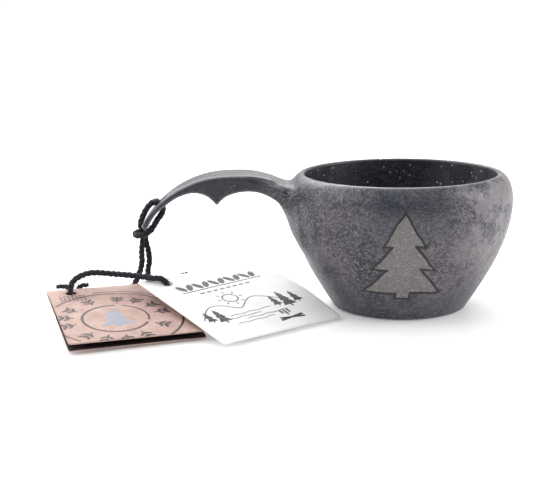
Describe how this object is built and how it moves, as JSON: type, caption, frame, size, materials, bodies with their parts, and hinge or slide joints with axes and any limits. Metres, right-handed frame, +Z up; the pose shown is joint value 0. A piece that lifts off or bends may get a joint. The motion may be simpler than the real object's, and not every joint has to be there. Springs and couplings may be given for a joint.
{
  "type": "kuksa cup",
  "caption": "Small round drinking cup with a curved two-finger handle, a twisted cord lanyard hitched through its tip, a folded paper leaflet and a square card tag.",
  "frame": {"origin": "centre of the cup's foot, on the bowl's axis, on the surface that it stands on", "axes": "+Z up along the bowl's axis, the handle points to -X, +Y away from the side that shows the tags' open edges"},
  "size_m": [0.2123, 0.1259, 0.0626],
  "materials": {
    "composite": "dark grey moulded wood-fibre composite with mottled flow marks and fine fibres, satin",
    "kraft": "uncoated brown kraft card with dark print",
    "white_card": "smooth white card with dark grey print",
    "cord": "near-black twisted natural fibre cord, fuzzy"
  },
  "bodies": {
    "cup_body": {"cup": "composite", "leaflet_back": "kraft", "cord_hitch": "cord", "cord_left_leg": "cord", "cord_right_leg": "cord", "cord_across_tags": "cord", "cord_knot": "cord"},
    "leaflet_cover_body": {"leaflet_cover": "kraft"},
    "square_tag_body": {"square_tag": "white_card"}
  },
  "joints": [
    {"name": "leaflet_fold", "type": "hinge", "parent": "cup_body", "child": "leaflet_cover_body", "pos_m": [-0.1614, -0.0189, 0.0118], "axis": [-0.9425, -0.3338, 0.0147], "range_deg": [-1.8, 0], "stiffness_Nm_per_rad": 0.05},
    {"name": "square_tag_lift", "type": "hinge", "parent": "cup_body", "child": "square_tag_body", "pos_m": [-0.1089, -0.0177, 0.01475], "axis": [-0.7704, -0.6374, 0.0108], "range_deg": [0, 12]}
  ]
}
